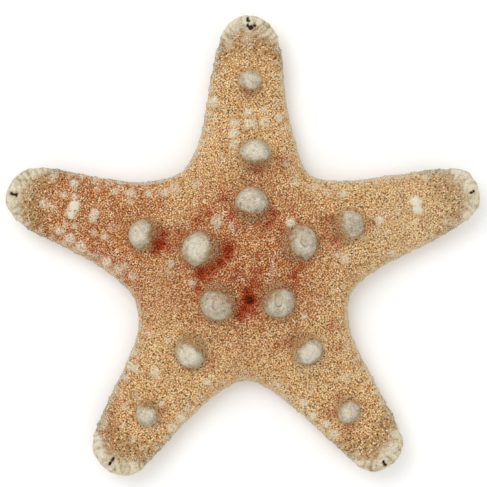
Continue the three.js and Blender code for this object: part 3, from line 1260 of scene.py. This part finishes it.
@dataclass(frozen=True)
class GranuleFinish:
    """The granules: tan and cream with dark pores painted on as their shade, redder in stains and paler at
    the rim and on warts.
    """

    tones: tuple[tuple[float, Colour], ...] = (
        (0.0, srgb(216, 166, 106)),
        (0.3, srgb(236, 202, 150)),
        (0.55, srgb(232, 210, 160)),
        (0.8, srgb(242, 214, 172)),
        (1.0, srgb(246, 226, 192)),
    )
    ruddy: Colour = srgb(198, 132, 76)
    olive: Colour = srgb(216, 186, 126)
    ember: Colour = srgb(206, 124, 62)
    skirt: Colour = srgb(178, 156, 116)
    # Painted shade of the pores, plain and in red places
    pore_shade: Colour = srgb(136, 94, 50)
    pore_red_shade: Colour = srgb(122, 46, 16)
    stain: Colour = srgb(166, 58, 18)
    deep: Colour = srgb(50, 10, 2)
    rim: Colour = srgb(210, 198, 172)
    rim_shade: Colour = srgb(150, 132, 98)
    cloud: Colour = srgb(216, 200, 170)
    grime: Colour = srgb(142, 114, 72)
    # Painted shade of the deepest pores
    hole_shade: Colour = srgb(82, 52, 24)
    broad: Pattern = (9.0, 3.0, 0.6)
    drift: Pattern = (6.0, 2.0, 0.5)
    haze: Pattern = (4.6, 2.0, 0.5)
    patch: Pattern = (1.8, 1.0, 0.5)
    glow: Pattern = (0.9, 1.0, 0.5)
    fine: Pattern = (0.38, 1.0, 0.5)
    roughness: float = 0.8
    grain_depth: float = 0.05

    def material(self) -> bpy.types.Material:
        """Builds the granules' material.

        Returns:
            The material.
        """
        shader = Shader("starfish granules")
        tint = shader.attribute(TINT)
        broad = shader.noise(*self.broad)
        patch = shader.noise(*self.patch)
        fine = shader.noise(*self.fine)
        tone = (tint * 0.4 + 0.32 + (broad - 0.5) * 0.3 + (patch - 0.5) * 1.5).clamp()
        colour = shader.node("ValToRGB", {"stops": self.tones}, {"Fac": tone}, "Color")
        redness = (shader.attribute(Zone.REDNESS) + (broad - 0.58) * 0.6).clamp()
        drift = shader.noise(*self.drift)
        colour = shader.mix(drift.step(0.5, 0.62) * 0.4, colour, self.olive)
        colour = shader.mix(redness * patch.step(0.7, 0.3) * 0.85, colour, self.ruddy)
        haze = shader.noise(*self.haze).step(0.54, 0.72)
        colour = shader.mix(haze * 0.35, colour, self.cloud)
        glow = shader.noise(*self.glow).step(0.55, 0.65)
        colour = shader.mix(glow * 0.5, colour, self.ember)
        grime = shader.attribute(Zone.GRIME)
        wrinkle = shader.attribute(Zone.WRINKLE)
        # Grime on the tips, plus painted shade: the wrinkles' creases are darkened in the grime colour
        colour = shader.mix(grime * tint.step(0.9, 0.2) * 0.7 + wrinkle * 0.3, colour, self.grime)
        colour = shader.mix(shader.attribute(Zone.KNOB).step(0.05, 0.35) * 0.85, colour, self.skirt)
        pale = shader.attribute(Zone.PALE) + shader.attribute(Zone.RIM) * 0.75
        pale = (pale + shader.attribute(Zone.TIP) * 0.95 + shader.attribute(Zone.UNDER) * 0.5).clamp()
        rim = shader.mix(wrinkle * 0.6, self.rim, self.rim_shade)
        colour = shader.mix(pale * (0.68 + tint * 0.32), colour, rim)
        # Painted shade: fine dark specks and dots on the granules stand for the shadowed pores and gaps
        # between them, redder where the skin is red
        pore_shade = shader.mix((redness * 1.2).clamp(), self.pore_shade, self.pore_red_shade)
        depth = fine.step(0.5, 0.62) * (0.76 + redness * 0.2 - pale * 0.3)
        colour = shader.mix(depth, colour, pore_shade)
        hole_shade = shader.dots(*PORES) * (0.85 + grime * 0.15 - pale * 0.45)
        deepest = shader.mix((redness * 0.7).clamp(), self.hole_shade, self.pore_red_shade)
        colour = shader.mix(hole_shade.clamp(), colour, deepest)
        stain = shader.attribute(Zone.STAIN) * (0.5 + patch)
        colour = shader.mix((stain * 1.2).clamp() * 0.95, colour, self.stain)
        colour = shader.mix(((stain - 0.85) * 1.5).clamp(), colour, self.deep)
        return shader.surface(colour, self.roughness, fine, self.grain_depth)


@dataclass(frozen=True)
class SpineFinish:
    """The spines under the star: cream, dirtier in places."""

    cream: Colour = srgb(222, 206, 172)
    tan: Colour = srgb(188, 154, 110)
    dirt: Colour = srgb(120, 88, 54)
    mottle: Pattern = (2.0, 2.0, 0.5)
    fine: Pattern = (0.5, 2.0, 0.5)
    roughness: float = 0.8
    grain_depth: float = 0.08

    def material(self) -> bpy.types.Material:
        """Builds the spines' material.

        Returns:
            The material.
        """
        shader = Shader("starfish spines")
        mottle = shader.noise(*self.mottle)
        fine = shader.noise(*self.fine)
        colour = shader.mix(shader.attribute(TINT) * 0.8, self.cream, self.tan)
        dirt = mottle.step(0.52, 0.7) * 0.7 + fine.step(0.55, 0.7) * 0.4
        colour = shader.mix(dirt, colour, self.dirt)
        return shader.surface(colour, self.roughness, fine, self.grain_depth)


class Patch(Enum):
    """The granules' pieces, in the order of the skin's patches: the back by its arms, and the underside."""

    RIGHT = "granules_right_arm"
    UPPER = "granules_upper_arm"
    LEFT = "granules_left_arm"
    LOWER_LEFT = "granules_lower_left_arm"
    LOWER_RIGHT = "granules_lower_right_arm"
    UNDER = "granules_underside"


@dataclass
class Granules(Part):
    """The skin's granules: small blunt beads set close together all over it, in millimetres."""

    material: bpy.types.Material
    radius: float = 0.43
    height: float = 0.28
    rings: tuple[tuple[float, float], ...] = ((1.0, -0.3), (0.78, 0.62))
    spacing: float = 0.62
    spread: tuple[float, float] = (0.78, 1.22)
    uneven: tuple[float, float] = (0.8, 1.2)
    coarser_under: float = 1.35
    finer_tip: float = 0.3
    flatter_wart: float = 0.7
    bare_tip: float = 0.85
    density: float = 1e7
    seed: int = 11

    def build(self, skin: bpy.types.Object, patch: Patch) -> bpy.types.Object:
        """Scatters the granules of one patch over the skin.

        Args:
            skin: The finished skin.
            patch: Which granules to make.

        Returns:
            The granules as one mesh.
        """
        larger = self.coarser_under if patch is Patch.UNDER else 1.0
        tree = Geometry(patch.value)
        spacing = tree.size("Spacing", self.spacing * larger * MM)
        low = tree.size("Smallest", self.spread[0] * larger)
        high = tree.size("Largest", self.spread[1] * larger)
        seed = tree.size("Seed", self.seed, "Int")
        number = tree.size("Patch", list(Patch).index(patch), "Int")
        points = self._points(tree, spacing, seed, number)
        facing = Socket(tree, points.socket.node.outputs["Normal"])
        upright = Socket(tree, points.socket.node.outputs["Rotation"])
        spin = tree.node("ShaderNodeCombineXYZ", None, {2: tree.random(0.0, math.tau, seed + 1)})
        turn = tree.node("FunctionNodeEulerToRotation", None, {0: spin})
        settings = {"rotation_space": "LOCAL"}
        rotation = tree.node("FunctionNodeRotateRotation", settings, {0: upright, 1: turn})
        width = tree.random(low, high, seed + 2) * (1 - tree.attribute(Zone.TIP) * self.finer_tip)
        flat = 1 - tree.attribute(Zone.PALE) * self.flatter_wart
        tall = width * tree.random(*self.uneven, seed + 3) * flat
        scale = tree.node("ShaderNodeCombineXYZ", None, {0: width, 1: width, 2: tall})
        bead = blunt_body("bead", self.rings, 0.5, self.radius, self.height)
        inputs = {"Points": points, "Rotation": rotation, "Scale": scale}
        kept = {TINT: ("FLOAT", tree.random(0.0, 1.0, seed + 4)), FACING: ("FLOAT_VECTOR", facing)}
        beads = tree.copies(bead, inputs, kept, self.material)
        piece = tree.run(beads, skin.data, patch.value)
        self._bake_map(piece.data, patch)
        return piece

    def _points(self, tree: Geometry, spacing: Socket, seed: Socket, number: Socket) -> Socket:
        """Spreads the points of one patch evenly, leaving bare places out.

        Args:
            tree: The granules' tree.
            spacing: How close the points may be.
            seed: The seed.
            number: The patch's number.

        Returns:
            The points.
        """
        same = {"data_type": "INT", "operation": "EQUAL"}
        chosen = tree.node("FunctionNodeCompare", same, {2: tree.attribute(PATCH, "INT"), 3: number})
        area = tree.node("SeparateGeometry", {"domain": "FACE"}, {0: tree.geometry(), 1: chosen})
        bare = tree.attribute(Zone.BARE) + tree.attribute(Zone.SLIT) + tree.attribute(Zone.FURROW)
        bare = (bare.step(0.25, 0.6) + tree.attribute(Zone.TIP) * self.bare_tip).clamp()
        inputs = {"Mesh": area, "Distance Min": spacing, "Density Max": self.density}
        inputs.update({"Density Factor": (1 - bare).step(0.3, 0.6), "Seed": seed})
        return tree.node("DistributePointsOnFaces", {"distribute_method": "POISSON"}, inputs)

    def _bake_map(self, mesh: bpy.types.Mesh, patch: Patch) -> None:
        """Maps the granules flat, as they lie on the skin.

        Args:
            mesh: The granules' mesh.
            patch: Which granules they are.
        """
        facing = read(mesh.attributes[FACING].data, "vector", 3)
        mesh.attributes.remove(mesh.attributes[FACING])
        corner = read(mesh.loops, "vertex_index", kind=np.int32)
        flat = unrolled(read_points(mesh), facing)[corner]
        write_map(mesh, 0.5 + flat * (1.0, -1.0 if patch is Patch.UNDER else 1.0))


@dataclass(frozen=True)
class SpineRow:
    """A row of spines beside a furrow: how far from its edge, how long, and how far they lean over it."""

    offset: float
    stretch: float
    lean: tuple[float, float, float]


@dataclass
class Spines(Part):
    """Small blunt spines along both edges of the furrows and round the mouth, leaning over them."""

    plan: StarPlan
    material: bpy.types.Material
    radius: float = 0.34
    length: float = 2.0
    rings: tuple[tuple[float, float], ...] = ((0.9, -0.1), (1.0, 0.35), (0.6, 0.85))
    spacing: float = 0.95
    step: float = 2.0
    rows: tuple[SpineRow, ...] = (
        SpineRow(0.0, 0.9, (0.8, 0.5, 0.4)),
        SpineRow(0.9, 1.1, (0.5, 0.85, 0.12)),
    )
    row_height: float = 0.35
    tip_shrink: float = 0.4
    mouth_height: float = 0.3
    mouth_stretch: float = 1.4
    mouth_lean: float = 0.4
    mouth_steps: int = 20
    uneven: tuple[float, float] = (0.8, 1.2)
    sway: float = 0.16
    seed: int = 5

    def build(self) -> bpy.types.Object:
        """Sets the spines along their paths.

        Returns:
            The spines as one mesh.
        """
        tree = Geometry("furrow_spines")
        spacing = tree.size("Spacing", self.spacing * MM)
        seed = tree.size("Seed", self.seed, "Int")
        curve = tree.node("MeshToCurve", None, {0: tree.geometry()})
        curve = tree.node("ResampleCurve", {"mode": "LENGTH"}, {"Curve": curve, "Length": spacing})
        sways = {axis: tree.random(-self.sway, self.sway, seed + axis) for axis in range(3)}
        sway = tree.node("ShaderNodeCombineXYZ", None, sways)
        leans = {0: tree.attribute("lean", "FLOAT_VECTOR"), 1: sway}
        lean = tree.node("ShaderNodeVectorMath", {"operation": "ADD"}, leans)
        rotation = tree.node("FunctionNodeAlignRotationToVector", {"axis": "Z"}, {"Vector": lean})
        scale = tree.attribute("stretch") * tree.random(*self.uneven, seed + 3)
        spine = blunt_body("spine", self.rings, 0.0, self.radius, self.length)
        inputs = {"Points": curve, "Rotation": rotation, "Scale": scale}
        kept = {TINT: ("FLOAT", tree.random(0.0, 1.0, seed + 4))}
        spines = tree.copies(spine, inputs, kept, self.material)
        return tree.run(spines, self._paths(), "furrow_spines")

    def _paths(self) -> bpy.types.Mesh:
        """The lines that the spines stand on, with their lean and length at each vertex.

        Returns:
            The lines, as a mesh of edges.
        """
        points: list[Array] = []
        edges: list[tuple[int, int]] = []
        leans: list[Array] = []
        stretches: list[float] = []
        for arm, side, row in itertools.product(self.plan.arms, (-1, 1), self.rows):
            first = len(points)
            aslant, onward, upward = row.lean
            for along in np.arange(self.plan.mouth + 1.0, arm.reach - self.plan.tip_rounding, self.step):
                aside = side * (self.plan.furrow_half(arm, along) + row.offset)
                height = self.plan.lift(arm, along) + self.row_height
                points.append(np.append(arm.place(along, aside), height))
                leans.append(np.append(arm.place(onward, -side * aslant), upward))
                stretches.append(row.stretch * (1 - self.tip_shrink * along / arm.reach))
            edges += [(k, k + 1) for k in range(first, len(points) - 1)]
        first = len(points)
        for k in range(self.mouth_steps):
            turn = math.tau * k / self.mouth_steps
            way = np.array([math.cos(turn), math.sin(turn)])
            points.append(np.append(way * self.plan.mouth, self.mouth_height))
            leans.append(np.append(-way, self.mouth_lean))
            stretches.append(self.mouth_stretch)
            edges.append((first + k, first + (k + 1) % self.mouth_steps))
        mesh = bpy.data.meshes.new("spine paths")
        middle = np.array([*self.plan.centre, 0.0])
        mesh.from_pydata([tuple((point + middle) * MM) for point in points], edges, [])
        layer = mesh.attributes.new("lean", "FLOAT_VECTOR", "POINT")
        layer.data.foreach_set("vector", np.array(leans).ravel())
        write_attribute(mesh, "stretch", np.array(stretches))
        return mesh


@dataclass
class Studio:
    """A pale floor, soft light and the camera straight above, as in the photo. Sizes are in metres."""

    plan: StarPlan
    distance: float = 0.9
    frame_px: int = 487
    aim: tuple[float, float] = (0.00017, 0.0005)
    aim_height: float = 0.006
    sensor_mm: float = 36.0
    floor_half: float = 3.0
    floor_drop: float = 0.0002
    sky: float = 1.02
    lamp_size: float = 0.9
    lamp_watts: float = 5.0
    lamp_place: tuple[float, float, float] = (-0.5, 0.55, 1.1)

    def build(self) -> None:
        """Makes the floor, the lights and the camera."""
        self._floor()
        self._light()
        self._camera()

    def _floor(self) -> None:
        """Lays a wide pale floor under the star."""
        mesh = bpy.data.meshes.new("floor")
        half = self.floor_half
        corners = [(-half, -half, 0), (half, -half, 0), (half, half, 0), (-half, half, 0)]
        mesh.from_pydata(corners, [], [(0, 1, 2, 3)])
        floor = bpy.data.objects.new("floor", mesh)
        floor.location.z = -self.floor_drop
        bpy.context.scene.collection.objects.link(floor)
        shader = Shader("pale floor")
        colour = shader.mix(shader.noise(40.0), srgb(246, 246, 245), srgb(248, 248, 247))
        mesh.materials.append(shader.surface(colour, 0.9, shader.noise(4.0), 0.02))

    def _light(self) -> None:
        """Lights the star from all round, and a little more from the upper left."""
        world = bpy.data.worlds.new("studio")
        world.use_nodes = True
        background = world.node_tree.nodes["Background"]
        background.inputs["Color"].default_value = (1.0, 1.0, 1.0, 1.0)
        background.inputs["Strength"].default_value = self.sky
        scene = bpy.context.scene
        scene.world = world
        scene.view_settings.view_transform = "Standard"
        scene.view_settings.look = "None"
        lamp = bpy.data.lights.new("softbox", "AREA")
        lamp.shape = "DISK"
        lamp.size = self.lamp_size
        lamp.energy = self.lamp_watts
        light = bpy.data.objects.new("softbox", lamp)
        light.location = self.lamp_place
        light.rotation_euler = (-light.location).to_track_quat("-Z", "Y").to_euler()
        scene.collection.objects.link(light)

    def _camera(self) -> None:
        """Sets the camera straight above, with the upper arm up in the frame."""
        data = bpy.data.cameras.new("camera")
        span = self.frame_px * self.plan.mm_per_px * MM
        data.sensor_width = self.sensor_mm
        data.lens = self.sensor_mm * (self.distance - self.aim_height) / span
        camera = bpy.data.objects.new("camera", data)
        camera.location = (*self.aim, self.distance)
        bpy.context.scene.collection.objects.link(camera)
        bpy.context.scene.camera = camera


def report(piece: bpy.types.Object) -> None:
    """Logs a finished piece."""
    log.info("%s: %d faces", piece.name, len(piece.data.polygons))


def main() -> None:
    """Builds the studio and the star's pieces in order, and reports each one."""
    logging.basicConfig(level=logging.INFO, format="%(message)s")
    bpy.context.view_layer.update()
    plan = StarPlan()
    Studio(plan).build()
    skin = Skin(plan)
    hide = skin.build()
    skin.dress(hide)
    report(hide)
    granules = Granules(GranuleFinish().material())
    for patch in Patch:
        beads = granules.build(hide, patch)
        granules.dress(beads)
        report(beads)
    spines = Spines(plan, SpineFinish().material())
    rows = spines.build()
    spines.dress(rows)
    report(rows)


if __name__ == "__main__":
    main()
